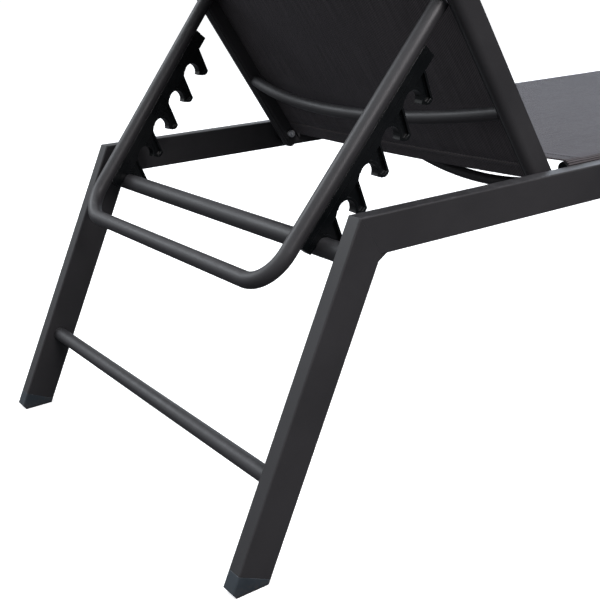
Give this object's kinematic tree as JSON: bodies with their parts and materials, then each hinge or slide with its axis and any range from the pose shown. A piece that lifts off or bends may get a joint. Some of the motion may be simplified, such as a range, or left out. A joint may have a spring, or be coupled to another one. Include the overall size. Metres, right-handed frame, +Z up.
{
  "type": "sun lounger",
  "caption": "Reclining sling sun lounger with a raked-leg tubular frame, a hinged backrest and a swinging notched bail that props it.",
  "frame": {"origin": "on the floor, midway between the four feet", "axes": "+X across the lounger to the sitter's right; +Y from the head end to the foot end; +Z up"},
  "size_m": [0.6, 1.6754, 0.9858],
  "materials": {
    "powder_coat": "dark grey powder coat, fine texture, satin",
    "black_moulding": "moulded, slight sheen",
    "foot_grey": "moulded, matte",
    "sling": "PVC-coated polyester mesh, fine weave",
    "zinc": "zinc plated",
    "nylon": "matte"
  },
  "bodies": {
    "frame": {"side_rail_left": "powder_coat", "side_rail_right": "powder_coat", "rear_leg_left": "powder_coat", "rear_leg_right": "powder_coat", "front_leg_left": "powder_coat", "front_leg_right": "powder_coat", "corner_welds": "powder_coat", "foot_cap_rear_left": "foot_grey", "foot_cap_rear_right": "foot_grey", "foot_cap_front_left": "foot_grey", "foot_cap_front_right": "foot_grey", "rest_crossbar": "powder_coat", "foot_end_crossbar": "powder_coat", "rear_leg_crossbar": "powder_coat", "front_leg_crossbar": "powder_coat", "seat_rail_left": "powder_coat", "seat_rail_right": "powder_coat", "seat_rail_caps": "black_moulding", "seat_rail_screws": "zinc", "seat_spreader_rear": "powder_coat", "seat_spreader_middle": "powder_coat", "seat_spreader_front": "powder_coat", "seat_sling": "sling", "seat_keder_rods": "nylon", "pivot_bolts": "zinc", "pivot_rivet_nuts": "zinc", "pivot_spacers": "nylon"},
    "backrest": {"backrest_rail_left": "powder_coat", "backrest_rail_right": "powder_coat", "backrest_rail_caps": "black_moulding", "backrest_pivot_bushes": "nylon", "backrest_spreader_lower": "powder_coat", "backrest_spreader_upper": "powder_coat", "backrest_top_bar": "powder_coat", "backrest_sling": "sling", "backrest_keder_rods": "nylon", "bail_pivot_bolts": "zinc", "bail_pivot_rivet_nuts": "zinc", "bail_pivot_washers": "nylon"},
    "support": {"support_bail": "powder_coat", "bail_end_plugs": "black_moulding", "notch_rack_left": "black_moulding", "notch_rack_right": "black_moulding", "rack_rivets": "zinc"}
  },
  "joints": [
    {"name": "backrest_recline", "type": "hinge", "parent": "frame", "child": "backrest", "pos_m": [0, -0.365, 0.345], "axis": [1, 0, 0], "range_deg": [0, 58.5]},
    {"name": "support_swing", "type": "hinge", "parent": "backrest", "child": "support", "pos_m": [0, -0.50217, 0.56119], "axis": [1, 0, 0], "range_deg": [-106.5, 0]}
  ],
  "couplings": [
    {"joint": "support_swing", "follows": "backrest_recline", "ratio": -1.82}
  ]
}
